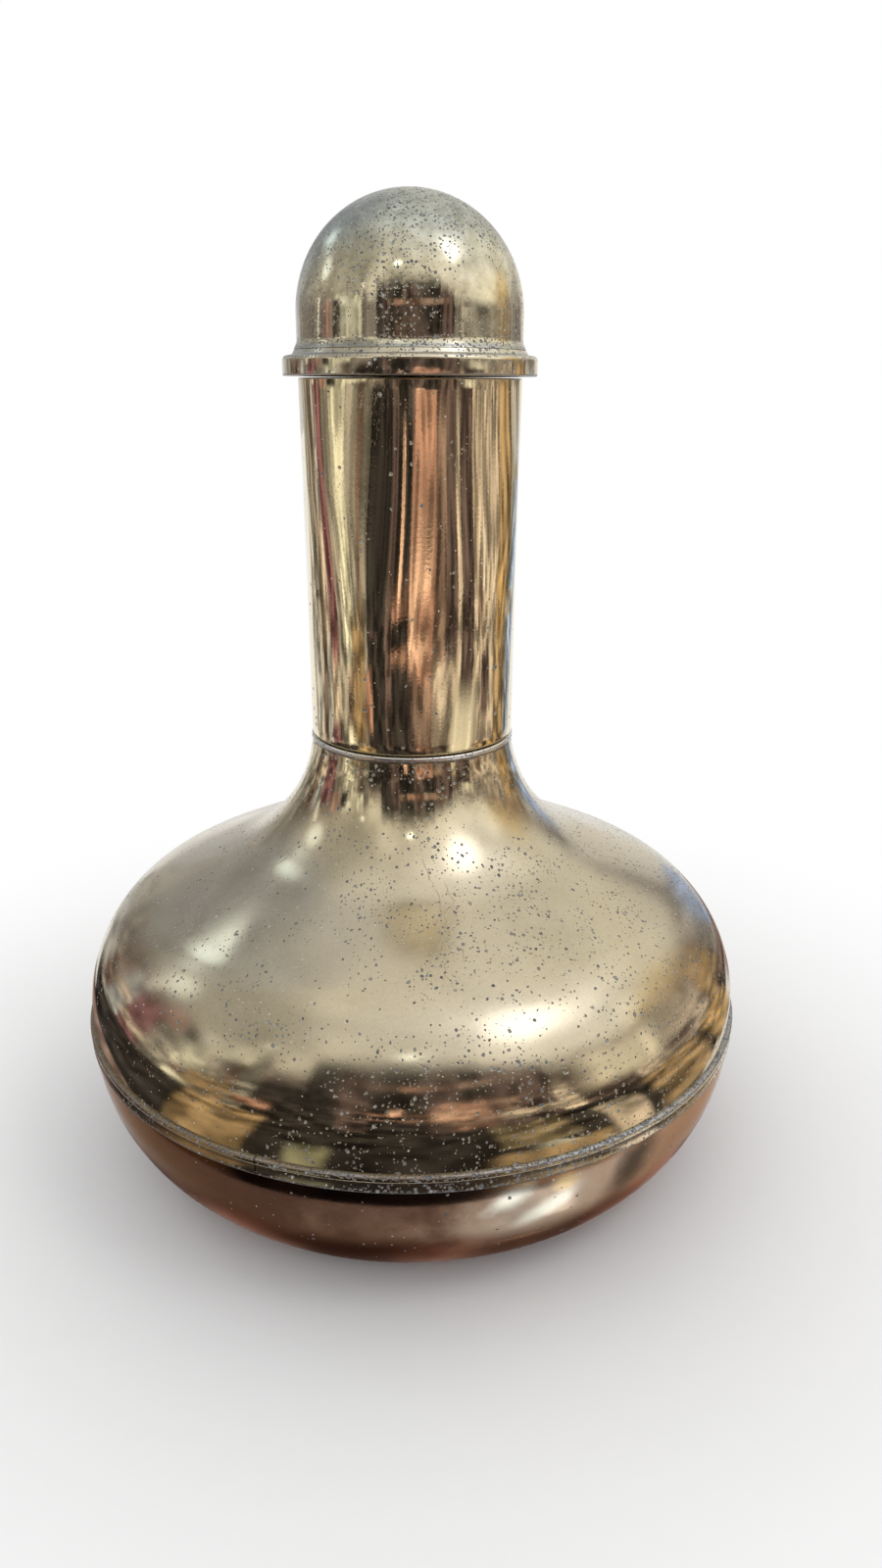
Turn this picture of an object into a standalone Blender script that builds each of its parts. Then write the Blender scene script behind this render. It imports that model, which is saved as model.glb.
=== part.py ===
"""Squat spun-brass bottle with a long drawn neck and a domed, corked cap.

Every piece is turned about the Z axis from an outline of (radius, height) points.
Lengths are in metres, and the table is at height zero.
"""

import math

import bmesh
import bpy
from mathutils import Matrix, Vector

# Sheet, fits and smoothness
SHEET = 0.0012  # wall of the spun shells, the drawn neck and the dome
PLAY = 0.0003  # gap where one piece seats on or in another
EDGE_ROUND = 0.0003  # broken edge on turned and cut rims
CURVE_ERROR = 0.00015  # how far a flat may cut inside the curve it stands for
WELD = 0.00001  # points closer than this are one point
BODY_SIDES = 56
NECK_SIDES = 36
SMALL_SIDES = 24
NUT_SIDES = 6
SHARP_ANGLE = math.radians(35)

# Upper shell: side up from the seam, shoulder sweeping in, and collar
BODY_RADIUS = 0.0692
SIDE_RISE = 0.0208  # from the seam to the corner of the side and the shoulder's slope
SHOULDER_SWEEP_RADIUS = 0.0257
SLOPE_RISE = 0.0214  # from that corner to the one of the slope and the collar's wall
COLLAR_SWEEP_RADIUS = 0.0285
COLLAR_RISE = 0.0174  # from there to the collar's top edge
COLLAR_RADIUS = 0.0206  # the neck tube's lower end is flush with it
COLLAR_TAPER = 0.0016
COLLAR_LIP_HEIGHT = 0.0010
COLLAR_LIP_PROUD = 0.0002

# Seam: the lower shell's lip stands inside the upper shell, and a bead covers the joint
SEAM_HEIGHT = 0.0308
SEAM_DRAW_IN = 0.0003  # the side closes in this much behind the bead
SEAM_DRAW_HEIGHT = 0.0015
SEAM_DRAW_SWEEP = 0.0040
LAP_LENGTH = 0.0055
BEAD_HEIGHT = 0.0034
BEAD_THICKNESS = 0.0008
BEAD_ROUND = 0.0006
BEAD_BUTT_GAP = 0.0004  # between the two ends of the wire
BEAD_BUTT_ANGLE = math.radians(-113.2)  # front left

# Lower shell: a shallow bowl on a flat foot with a raised middle
BOWL_STEP = 0.0005  # how far the bowl's rim stands out under the bead
BOWL_TAPER = 0.0006
BOWL_CORNER_HEIGHT = 0.0123
BOWL_SWEEP_RADIUS = 0.0345
FOOT_CORNER_RADIUS = 0.0528
FOOT_SWEEP_RADIUS = 0.0105
FOOT_INNER_RADIUS = 0.0340
RECESS_DEPTH = 0.0015
RECESS_RUN = 0.0040
RECESS_SWEEP = 0.0030

# Neck: a drawn tube that widens a little to its mouth, on a sleeve inside the collar
NECK_LENGTH = 0.0684
NECK_FLARE = 0.0005
NECK_FLARE_POWER = 2
NECK_STEPS = 4
NECK_FOOT_ROUND = 0.0010
FERRULE_WALL = 0.0010
FERRULE_ABOVE = 0.0140
FERRULE_BELOW = 0.0100

# Cap: a turned flange with a spigot, and a dome over the spigot
FLANGE_OVERHANG = 0.0028  # past the neck's mouth, to lift it by
FLANGE_HEIGHT = 0.0036
FLANGE_CORNER_ROUND = 0.0009
FLANGE_PLATE = 0.0020
COVE_HEIGHT = 0.0007
COVE_RUN = 0.0005
SPIGOT_HEIGHT = 0.0030
SPIGOT_WALL = 0.0012
DOME_WALL_HEIGHT = 0.0062
DOME_FLARE = 0.0006
DOME_FLARE_HEIGHT = 0.0013
DOME_FLARE_SWEEP = 0.0020

# Cork and what holds it under the cap
CORK_LENGTH = 0.0240
CORK_TAPER = 0.0006
CORK_ROUND = 0.0010
STUD_RADIUS = 0.0025
STUD_HEAD_OVERHANG = 0.0025
STUD_HEAD_HEIGHT = 0.0025
STUD_END = 0.0015  # how far it shows past the nut
WASHER_RADIUS = 0.0120
WASHER_THICKNESS = 0.0012
NUT_WALL = 0.0015  # from the stud to the nut's flats
NUT_HEIGHT = 0.0040
CUT_OVERRUN = 0.0010

# Sizes and places that follow from the ones above
SHOULDER_CORNER_HEIGHT = SEAM_HEIGHT + SIDE_RISE
COLLAR_CORNER_HEIGHT = SHOULDER_CORNER_HEIGHT + SLOPE_RISE
COLLAR_HEIGHT = COLLAR_CORNER_HEIGHT + COLLAR_RISE
COLLAR_BORE = COLLAR_RADIUS - SHEET
SEAM_RADIUS = BODY_RADIUS - SEAM_DRAW_IN
BEAD_BOTTOM = SEAM_HEIGHT - BEAD_HEIGHT / 2
BEAD_TOP = BEAD_BOTTOM + BEAD_HEIGHT
BOWL_RADIUS = SEAM_RADIUS + BOWL_STEP
NECK_FOOT = COLLAR_HEIGHT + PLAY
MOUTH_RADIUS = COLLAR_RADIUS + NECK_FLARE
CAP_SEAT = NECK_FOOT + NECK_LENGTH + PLAY
FLANGE_RADIUS = MOUTH_RADIUS + FLANGE_OVERHANG
LEDGE = FLANGE_HEIGHT + COVE_HEIGHT
DOME_EDGE = LEDGE + PLAY
DOME_BORE = MOUTH_RADIUS - SHEET
DOME_TOP = DOME_EDGE + DOME_WALL_HEIGHT + MOUTH_RADIUS
BORE_FOR_STUD = STUD_RADIUS + PLAY
CORK_BOTTOM = -PLAY - CORK_LENGTH
WASHER_TOP = CORK_BOTTOM - PLAY
WASHER_BOTTOM = WASHER_TOP - WASHER_THICKNESS
NUT_TOP = WASHER_BOTTOM - PLAY
NUT_BOTTOM = NUT_TOP - NUT_HEIGHT

# Finishes: linear colour, roughness and metallic value
FINISHES = {
    "shoulder_brass": ((0.60, 0.49, 0.30), 0.22, 1.0),
    "bowl_brass": ((0.56, 0.39, 0.25), 0.20, 1.0),
    "bead_brass": ((0.58, 0.50, 0.34), 0.30, 1.0),
    "neck_brass": ((0.70, 0.54, 0.30), 0.08, 1.0),
    "ferrule_brass": ((0.55, 0.43, 0.25), 0.40, 1.0),
    "dome_brass": ((0.60, 0.49, 0.30), 0.25, 1.0),
    "flange_brass": ((0.60, 0.49, 0.30), 0.20, 1.0),
    "washer_brass": ((0.55, 0.43, 0.25), 0.35, 1.0),
    "stud_steel": ((0.55, 0.55, 0.54), 0.35, 1.0),
    "nut_steel": ((0.55, 0.55, 0.54), 0.35, 1.0),
    "cork": ((0.50, 0.33, 0.19), 0.85, 0.0),
}


def clear_scene():
    for item in list(bpy.data.objects):
        bpy.data.objects.remove(item)


def material(name):
    colour, roughness, metallic = FINISHES[name]
    finish = bpy.data.materials.new(name)
    finish.use_nodes = True
    shader = finish.node_tree.nodes["Principled BSDF"]
    shader.inputs["Base Color"].default_value = (*colour, 1)
    shader.inputs["Roughness"].default_value = roughness
    shader.inputs["Metallic"].default_value = metallic
    finish.diffuse_color = (*colour, 1)
    return finish


def fillet_reaches(points, radii):
    """How far each fillet runs along its sides, eased where two would meet on one side."""
    reaches = [0.0] * len(points)
    for index in range(1, len(points) - 1):
        before = points[index - 1] - points[index]
        after = points[index + 1] - points[index]
        reaches[index] = radii[index] / math.tan(before.angle(after) / 2)
    eased = list(reaches)
    for index in range(len(points) - 1):
        wanted = reaches[index] + reaches[index + 1]
        room = (points[index + 1] - points[index]).length
        if wanted > room:
            eased[index] = min(eased[index], reaches[index] * room / wanted)
            eased[index + 1] = min(eased[index + 1], reaches[index + 1] * room / wanted)
    return eased


def arc(corner, before, after, reach):
    """Points of the arc that rounds a corner, where before and after point along its sides."""
    half = before.angle(after) / 2
    radius = reach * math.tan(half)
    centre = corner + (before + after).normalized() * radius / math.sin(half)
    spoke = corner + before * reach - centre
    last_spoke = corner + after * reach - centre
    turn = -spoke.angle_signed(last_spoke)
    flat_turn = 2 * math.acos(max(0.0, 1 - CURVE_ERROR / radius))
    steps = max(1, math.ceil(abs(turn) / flat_turn))
    return [centre + Matrix.Rotation(turn * step / steps, 2) @ spoke for step in range(steps + 1)]


def rounded(corners):
    """The outline through corners of (radius, height), or (radius, height, fillet radius)."""
    points = [Vector(corner[:2]) for corner in corners]
    radii = [corner[2] if len(corner) > 2 else 0.0 for corner in corners]
    outline = []
    for index, reach in enumerate(fillet_reaches(points, radii)):
        found = [points[index]]
        if reach > WELD:
            before = (points[index - 1] - points[index]).normalized()
            after = (points[index + 1] - points[index]).normalized()
            found = arc(points[index], before, after, reach)
        if outline and (found[0] - outline[-1]).length < WELD:
            outline.pop()
        outline.extend(found)
    return outline


def inside(outline, wall):
    """The inner face of a sheet whose outer face runs downwards along the outline."""
    inner = []
    for index, point in enumerate(outline):
        ends = outline[max(0, index - 1) : index + 2]
        sides = [(end - start).normalized() for start, end in zip(ends, ends[1:])]
        normals = [Vector((side.y, -side.x)) for side in sides]
        mean = sum(normals, Vector((0, 0))).normalized()
        inner.append(point + mean * wall / mean.dot(normals[0]))
    return inner


def finish_solid(name, mesh, finish):
    """Welds and shades the mesh, and returns it as an object of the scene."""
    bmesh.ops.remove_doubles(mesh, verts=mesh.verts, dist=WELD)
    bmesh.ops.recalc_face_normals(mesh, faces=mesh.faces)
    data = bpy.data.meshes.new(name)
    mesh.to_mesh(data)
    mesh.free()
    data.shade_smooth()
    data.set_sharp_from_angle(angle=SHARP_ANGLE)
    data.materials.append(finish)
    solid = bpy.data.objects.new(name, data)
    bpy.context.scene.collection.objects.link(solid)
    return solid


def turned(name, outline, sides, finish):
    """A full turn of an outline about Z, open along the axis where the outline ends there."""
    mesh = bmesh.new()
    points = [mesh.verts.new((radius, 0, height)) for radius, height in outline]
    pairs = zip(points, points[1:] + points[:1])
    edges = [
        mesh.edges.new(pair) for pair in pairs if max(pair[0].co.x, pair[1].co.x) > WELD
    ]
    bmesh.ops.spin(
        mesh,
        geom=points + edges,
        cent=(0, 0, 0),
        axis=(0, 0, 1),
        angle=math.tau,
        steps=sides,
        use_merge=True,
    )
    return finish_solid(name, mesh, finish)


def bent(name, outline, sides, start, sweep, finish):
    """A bar of the outline's section bent round Z through less than a full turn."""
    mesh = bmesh.new()
    points = [mesh.verts.new((radius, 0, height)) for radius, height in outline]
    section = mesh.faces.new(points)
    bmesh.ops.rotate(
        mesh, verts=points, cent=(0, 0, 0), matrix=Matrix.Rotation(start, 3, "Z")
    )
    bmesh.ops.spin(
        mesh,
        geom=points + list(section.edges) + [section],
        cent=(0, 0, 0),
        axis=(0, 0, 1),
        angle=sweep,
        steps=sides,
    )
    return finish_solid(name, mesh, finish)


def upper_shell():
    """Spun shell from the collar's lip, out over the shoulder and down to the seam."""
    lip_radius = COLLAR_RADIUS + COLLAR_LIP_PROUD
    lip_bottom = COLLAR_HEIGHT - COLLAR_LIP_HEIGHT
    lip = rounded(
        [
            (COLLAR_BORE, COLLAR_HEIGHT),
            (lip_radius, COLLAR_HEIGHT, EDGE_ROUND),
            (lip_radius, lip_bottom, EDGE_ROUND),
            (COLLAR_RADIUS, lip_bottom),
        ]
    )
    skin = rounded(
        [
            (COLLAR_RADIUS, lip_bottom),
            (COLLAR_RADIUS + COLLAR_TAPER, COLLAR_CORNER_HEIGHT, COLLAR_SWEEP_RADIUS),
            (BODY_RADIUS, SHOULDER_CORNER_HEIGHT, SHOULDER_SWEEP_RADIUS),
            (BODY_RADIUS, BEAD_TOP + SEAM_DRAW_HEIGHT, SEAM_DRAW_SWEEP),
            (SEAM_RADIUS, BEAD_TOP, SEAM_DRAW_SWEEP),
            (SEAM_RADIUS, SEAM_HEIGHT),
        ]
    )
    lining = inside(skin, SHEET)
    outline = lip + skin[1:] + lining[:0:-1]
    finish = material("shoulder_brass")
    return turned("upper_shell", outline, BODY_SIDES, finish)


def lower_shell():
    """Spun bowl with a stepped lip that stands inside the upper shell."""
    lip_radius = SEAM_RADIUS - SHEET - PLAY
    shoulder = SEAM_HEIGHT - PLAY
    rim = BEAD_BOTTOM - PLAY
    lip = [
        Vector((lip_radius, shoulder + LAP_LENGTH)),
        Vector((lip_radius, shoulder)),
        Vector((SEAM_RADIUS, shoulder)),
        Vector((SEAM_RADIUS, rim)),
    ]
    skin = rounded(
        [
            (BOWL_RADIUS, rim),
            (BOWL_RADIUS - BOWL_TAPER, BOWL_CORNER_HEIGHT, BOWL_SWEEP_RADIUS),
            (FOOT_CORNER_RADIUS, 0, FOOT_SWEEP_RADIUS),
            (FOOT_INNER_RADIUS, 0, RECESS_SWEEP),
            (FOOT_INNER_RADIUS - RECESS_RUN, RECESS_DEPTH, RECESS_SWEEP),
            (0, RECESS_DEPTH),
        ]
    )
    lining = inside(skin, SHEET)
    lip_bore = [
        Vector((lip_radius - SHEET, shoulder)),
        Vector((lip_radius - SHEET, shoulder + LAP_LENGTH)),
    ]
    outline = lip + skin + lining[::-1] + lip_bore
    finish = material("bowl_brass")
    return turned("lower_shell", outline, BODY_SIDES, finish)


def seam_bead():
    """Half-round wire round the seam, with its two ends butted at the front left."""
    inner = SEAM_RADIUS + PLAY
    outer = inner + BEAD_THICKNESS
    outline = rounded(
        [
            (inner, BEAD_TOP),
            (outer, BEAD_TOP, BEAD_ROUND),
            (outer, BEAD_BOTTOM, BEAD_ROUND),
            (inner, BEAD_BOTTOM),
        ]
    )
    gap = BEAD_BUTT_GAP / outer
    finish = material("bead_brass")
    start = BEAD_BUTT_ANGLE + gap / 2
    return bent("seam_bead", outline, BODY_SIDES, start, math.tau - gap, finish)


def neck_radius(height):
    """Outer radius of the neck tube at a height above its own foot."""
    share = height / NECK_LENGTH
    return COLLAR_RADIUS + NECK_FLARE * share**NECK_FLARE_POWER


def neck_tube():
    heights = [NECK_LENGTH * step / NECK_STEPS for step in range(1, NECK_STEPS)]
    skin = [(neck_radius(height), height) for height in reversed(heights)]
    lining = [(radius - SHEET, height) for radius, height in reversed(skin)]
    outline = rounded(
        [
            (MOUTH_RADIUS - SHEET, NECK_LENGTH),
            (MOUTH_RADIUS, NECK_LENGTH, EDGE_ROUND),
            *skin,
            (COLLAR_RADIUS, 0, NECK_FOOT_ROUND),
            (COLLAR_BORE, 0),
            *lining,
        ]
    )
    finish = material("neck_brass")
    tube = turned("neck_tube", outline, NECK_SIDES, finish)
    tube.location.z = NECK_FOOT
    return tube


def neck_ferrule():
    """Sleeve that joins the neck tube to the collar from the inside."""
    outer = COLLAR_BORE - PLAY
    outline = rounded(
        [
            (outer - FERRULE_WALL, FERRULE_ABOVE),
            (outer, FERRULE_ABOVE, EDGE_ROUND),
            (outer, -FERRULE_BELOW, EDGE_ROUND),
            (outer - FERRULE_WALL, -FERRULE_BELOW),
        ]
    )
    finish = material("ferrule_brass")
    sleeve = turned("neck_ferrule", outline, NECK_SIDES, finish)
    sleeve.location.z = NECK_FOOT
    return sleeve


def cap_dome():
    """Half-round dome on a short wall whose edge spreads over the flange's cove."""
    skin = rounded(
        [
            (0, DOME_TOP),
            (MOUTH_RADIUS, DOME_TOP, MOUTH_RADIUS),
            (MOUTH_RADIUS, DOME_EDGE + DOME_FLARE_HEIGHT, DOME_FLARE_SWEEP),
            (MOUTH_RADIUS + DOME_FLARE, DOME_EDGE),
        ]
    )
    lining = rounded(
        [
            (0, DOME_TOP - SHEET),
            (DOME_BORE, DOME_TOP - SHEET, DOME_BORE),
            (DOME_BORE, DOME_EDGE),
        ]
    )
    finish = material("dome_brass")
    return turned("cap_dome", skin + lining[::-1], NECK_SIDES, finish)


def cap_flange():
    """Turned ring with a spigot for the dome and a plate that carries the cork."""
    spigot_radius = DOME_BORE - PLAY
    spigot_bore = spigot_radius - SPIGOT_WALL
    cove_radius = MOUTH_RADIUS + DOME_FLARE
    outline = rounded(
        [
            (spigot_bore, FLANGE_PLATE),
            (spigot_bore, LEDGE + SPIGOT_HEIGHT),
            (spigot_radius, LEDGE + SPIGOT_HEIGHT, EDGE_ROUND),
            (spigot_radius, LEDGE),
            (cove_radius, LEDGE),
            (cove_radius + COVE_RUN, FLANGE_HEIGHT, COVE_HEIGHT),
            (FLANGE_RADIUS, FLANGE_HEIGHT, FLANGE_CORNER_ROUND),
            (FLANGE_RADIUS, 0, EDGE_ROUND),
            (BORE_FOR_STUD, 0),
            (BORE_FOR_STUD, FLANGE_PLATE),
        ]
    )
    finish = material("flange_brass")
    return turned("cap_flange", outline, NECK_SIDES, finish)


def cork_plug():
    """Tapered cork, a slide fit in the neck's bore."""
    top_radius = MOUTH_RADIUS - SHEET - PLAY
    bore_below = neck_radius(NECK_LENGTH - CORK_LENGTH) - SHEET
    bottom_radius = bore_below - PLAY - CORK_TAPER
    outline = rounded(
        [
            (BORE_FOR_STUD, -PLAY),
            (top_radius, -PLAY, EDGE_ROUND),
            (bottom_radius, CORK_BOTTOM, CORK_ROUND),
            (BORE_FOR_STUD, CORK_BOTTOM),
        ]
    )
    finish = material("cork")
    return turned("cork_plug", outline, NECK_SIDES, finish)


def cork_washer():
    outline = rounded(
        [
            (BORE_FOR_STUD, WASHER_TOP),
            (WASHER_RADIUS, WASHER_TOP, EDGE_ROUND),
            (WASHER_RADIUS, WASHER_BOTTOM, EDGE_ROUND),
            (BORE_FOR_STUD, WASHER_BOTTOM),
        ]
    )
    finish = material("washer_brass")
    return turned("cork_washer", outline, SMALL_SIDES, finish)


def cork_stud():
    """Headed stud down through the flange's plate, the cork, the washer and the nut."""
    head_bottom = FLANGE_PLATE + PLAY
    head_radius = STUD_RADIUS + STUD_HEAD_OVERHANG
    outline = rounded(
        [
            (0, head_bottom + STUD_HEAD_HEIGHT),
            (head_radius, head_bottom + STUD_HEAD_HEIGHT, EDGE_ROUND),
            (head_radius, head_bottom),
            (STUD_RADIUS, head_bottom),
            (STUD_RADIUS, NUT_BOTTOM - STUD_END, EDGE_ROUND),
            (0, NUT_BOTTOM - STUD_END),
        ]
    )
    finish = material("stud_steel")
    return turned("cork_stud", outline, SMALL_SIDES, finish)


def cork_nut():
    """Hexagon nut, bored by a cutter of the stud's clearance hole."""
    corner_radius = (STUD_RADIUS + NUT_WALL) / math.cos(math.pi / NUT_SIDES)
    finish = material("nut_steel")
    prism = [
        Vector((0, NUT_TOP)),
        Vector((corner_radius, NUT_TOP)),
        Vector((corner_radius, NUT_BOTTOM)),
        Vector((0, NUT_BOTTOM)),
    ]
    hole = [
        Vector((0, NUT_TOP + CUT_OVERRUN)),
        Vector((BORE_FOR_STUD, NUT_TOP + CUT_OVERRUN)),
        Vector((BORE_FOR_STUD, NUT_BOTTOM - CUT_OVERRUN)),
        Vector((0, NUT_BOTTOM - CUT_OVERRUN)),
    ]
    nut = turned("cork_nut", prism, NUT_SIDES, finish)
    cutter = turned("nut_hole_cutter", hole, SMALL_SIDES, finish)
    cutter.hide_render = True
    cutter.display_type = "WIRE"
    bore = nut.modifiers.new("bore", "BOOLEAN")
    bore.operation = "DIFFERENCE"
    bore.solver = "EXACT"
    bore.object = cutter
    return [nut, cutter]


def build():
    clear_scene()
    for make in (upper_shell, lower_shell, seam_bead, neck_tube, neck_ferrule):
        make()
    lift_axis = bpy.data.objects.new("cap_lift_axis", None)
    bpy.context.scene.collection.objects.link(lift_axis)
    lift_axis.location.z = CAP_SEAT
    cap_pieces = [cap_dome(), cap_flange(), cork_plug(), cork_washer(), cork_stud()]
    for piece in cap_pieces + cork_nut():
        piece.parent = lift_axis


build()
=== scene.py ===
"""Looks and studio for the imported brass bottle.

Lengths are in metres. The bottle stands on the floor at the origin, and its front faces -Y.
"""

import math

import bpy
from mathutils import Matrix, Vector


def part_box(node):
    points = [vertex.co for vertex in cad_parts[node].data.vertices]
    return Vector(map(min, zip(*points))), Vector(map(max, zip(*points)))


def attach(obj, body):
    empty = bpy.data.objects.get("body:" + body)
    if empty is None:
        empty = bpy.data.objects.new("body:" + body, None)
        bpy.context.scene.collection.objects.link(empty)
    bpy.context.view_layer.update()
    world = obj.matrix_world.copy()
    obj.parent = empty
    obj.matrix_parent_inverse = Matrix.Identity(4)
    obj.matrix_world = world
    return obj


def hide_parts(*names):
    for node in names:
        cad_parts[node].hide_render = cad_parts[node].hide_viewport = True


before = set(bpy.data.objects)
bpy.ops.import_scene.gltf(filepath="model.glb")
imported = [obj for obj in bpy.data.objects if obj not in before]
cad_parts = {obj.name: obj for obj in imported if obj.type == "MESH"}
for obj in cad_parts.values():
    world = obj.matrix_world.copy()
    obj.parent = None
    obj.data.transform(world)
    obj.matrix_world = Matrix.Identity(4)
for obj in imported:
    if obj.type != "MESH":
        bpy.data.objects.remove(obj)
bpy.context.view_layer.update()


def heights(node_name):
    """The heights of a node's foot and top."""
    return [corner.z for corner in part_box(node_name)]


# The camera, as solved from the photograph's outline of the bottle
CAMERA_PLACE = Vector((0.0, -0.2279, 0.1575))
CAMERA_YAW = math.radians(-1.523)
CAMERA_PITCH = math.radians(-19.236)
CAMERA_ROLL = math.radians(0.197)
FOCAL_PIXELS = 1160.0
FRAME_HEIGHT = 1600
SENSOR = 36.0
CLIP_START = 0.01

# Smoothness of the turned pieces
ROUND_SIDES = 256
SMALL_SIDES = 96
CURVE_ERROR = 0.000004
WELD = 0.000001
SHARP_ANGLE = math.radians(35)
EASE_STEP = 0.0005
EASE_PASSES = 16
BEAD_SIDES = 360
NECK_STEPS = 32

# Sizes repeated from the solid model, and those read from its nodes
SHEET = 0.0012
PLAY = 0.0003
EDGE_ROUND = 0.0003
BODY_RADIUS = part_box("upper_shell")[1].x
SEAM_HEIGHT, COLLAR_TOP = heights("upper_shell")
COLLAR_RADIUS = 0.0206
COLLAR_BORE = COLLAR_RADIUS - SHEET
SEAM_RADIUS = BODY_RADIUS - 0.0003
BEAD_BOTTOM, BEAD_TOP = heights("seam_bead")
BEAD_RADIUS = min(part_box("seam_bead")[1].xy)
BOWL_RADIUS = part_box("lower_shell")[1].x
NECK_FOOT, NECK_TOP = heights("neck_tube")
MOUTH_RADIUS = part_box("neck_tube")[1].x
CAP_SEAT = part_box("cap_flange")[0].z
FLANGE_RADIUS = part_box("cap_flange")[1].x
DOME_EDGE, DOME_TOP = heights("cap_dome")
DOME_BORE = MOUTH_RADIUS - SHEET
CORK_BOTTOM, CORK_TOP = heights("cork_plug")
WASHER_BOTTOM, WASHER_TOP = heights("cork_washer")
STUD_END, STUD_TOP = heights("cork_stud")
NUT_BOTTOM, NUT_TOP = heights("cork_nut")
STUD_RADIUS = 0.0025
STUD_BORE = STUD_RADIUS + PLAY
STUD_HEAD = 0.0025
THREAD_PITCH = 0.0008
THREAD_DEPTH = 0.0004
THREAD_RINGS = 10
THREAD_RUN_OUT = 0.0006
CORK_TAPER = 0.0009
COUNTERSINK = 0.0003
BEAD_SPLIT = math.radians(-113.2)
BEAD_GAP = 0.0002


def fillet_reaches(points, radii):
    """How far each fillet runs along its sides, eased where two would meet on one side."""
    reaches = [0.0] * len(points)
    for index in range(1, len(points) - 1):
        before = points[index - 1] - points[index]
        after = points[index + 1] - points[index]
        reaches[index] = radii[index] / math.tan(before.angle(after) / 2)
    kept = list(reaches)
    for index in range(len(points) - 1):
        wanted = reaches[index] + reaches[index + 1]
        room = (points[index + 1] - points[index]).length
        if wanted > room:
            for end in (index, index + 1):
                kept[end] = min(kept[end], reaches[end] * room / wanted)
    return kept


def arc(corner, before, after, reach):
    """Points of the arc that rounds a corner, where before and after point along its sides."""
    half = before.angle(after) / 2
    radius = reach * math.tan(half)
    centre = corner + (before + after).normalized() * radius / math.sin(half)
    spoke = corner + before * reach - centre
    last_spoke = corner + after * reach - centre
    turn = -spoke.angle_signed(last_spoke)
    flat_turn = 2 * math.acos(max(0.0, 1 - CURVE_ERROR / radius))
    steps = max(1, math.ceil(abs(turn) / flat_turn))
    return [centre + Matrix.Rotation(turn * step / steps, 2) @ spoke for step in range(steps + 1)]


def rounded(*corners):
    """The outline through corners of (radius, height), or (radius, height, fillet radius)."""
    points = [Vector(corner[:2]) for corner in corners]
    radii = [corner[2] if len(corner) > 2 else 0.0 for corner in corners]
    outline = []
    for index, reach in enumerate(fillet_reaches(points, radii)):
        found = [points[index]]
        if reach > WELD:
            before = (points[index - 1] - points[index]).normalized()
            after = (points[index + 1] - points[index]).normalized()
            found = arc(points[index], before, after, reach)
        if outline and (found[0] - outline[-1]).length < WELD:
            outline.pop()
        outline.extend(found)
    return outline


def eased(outline):
    """The outline in even steps, with the breaks between its arcs and flats eased away."""
    lengths = [(end - start).length for start, end in zip(outline, outline[1:])]
    count = max(2, round(sum(lengths) / EASE_STEP))
    spaced = [outline[0].copy()]
    index = 0
    passed = 0.0
    for step in range(1, count):
        along = sum(lengths) * step / count
        while passed + lengths[index] < along:
            passed += lengths[index]
            index += 1
        spaced.append(outline[index].lerp(outline[index + 1], (along - passed) / lengths[index]))
    spaced.append(outline[-1].copy())
    for _ in range(EASE_PASSES):
        middles = [(a + b * 2 + c) / 4 for a, b, c in zip(spaced, spaced[1:], spaced[2:])]
        spaced = [spaced[0], *middles, spaced[-1]]
    return spaced


def inside(outline, wall):
    """The inner face of a sheet whose outer face runs downwards along the outline."""
    inner = []
    for index, point in enumerate(outline):
        ends = outline[max(0, index - 1) : index + 2]
        sides = [(end - start).normalized() for start, end in zip(ends, ends[1:])]
        normals = [Vector((side.y, -side.x)) for side in sides]
        mean = sum(normals, Vector((0, 0))).normalized()
        inner.append(point + mean * wall / mean.dot(normals[0]))
    return inner


def linked_mesh(name, points, faces):
    data = bpy.data.meshes.new(name)
    data.from_pydata(points, [], faces)
    data.update()
    made = bpy.data.objects.new(name, data)
    bpy.context.scene.collection.objects.link(made)
    return made


def piece(name, points, faces, body, node_name):
    """A smooth mesh that rides on a body in the place of a CAD node."""
    made = linked_mesh(name, points, faces)
    made.data.shade_smooth()
    made.data.set_sharp_from_angle(angle=SHARP_ANGLE)
    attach(made, body)
    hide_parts(node_name)
    return made


def around(radius, angle, height):
    return radius * math.cos(angle), radius * math.sin(angle), height


def ring_faces(rows, sides, closed):
    """Quads between rows of a turned grid, whose first and last rows may be one point."""
    faces = []
    count = len(rows)
    for index in range(count if closed else count - 1):
        this = rows[index]
        after = rows[(index + 1) % count]
        for side in range(sides):
            beside = (side + 1) % sides
            corners = [
                this[side % len(this)],
                after[side % len(after)],
                after[beside % len(after)],
                this[beside % len(this)],
            ]
            unlike = []
            for corner in corners:
                if corner not in unlike:
                    unlike.append(corner)
            if len(unlike) > 2:
                faces.append(unlike)
    return faces


def flipped(faces):
    """The faces turned over, each from the same first corner."""
    return [face[:1] + face[:0:-1] for face in faces]


def add_ring(points, rows, spots, start=0.0):
    """Spots of (radius, height) spread round Z; a lone spot of no radius is on the axis."""
    rows.append(range(len(points), len(points) + len(spots)))
    for side, (radius, height) in enumerate(spots):
        points.append(around(radius, start + math.tau * side / len(spots), height))


def add_rings(points, rows, outline, sides):
    for radius, height in outline:
        add_ring(points, rows, [(0, height)] if radius < WELD else [(radius, height)] * sides)


def turned(name, outline, body, node_name, sides=ROUND_SIDES):
    """A full turn about Z of an outline that runs down its outer face and up its bore."""
    points = []
    rows = []
    add_rings(points, rows, outline, sides)
    on_axis = outline[0][0] < WELD and outline[-1][0] < WELD
    faces = ring_faces(rows, sides, closed=not on_axis)
    return piece(name, points, faces, body, node_name)


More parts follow.
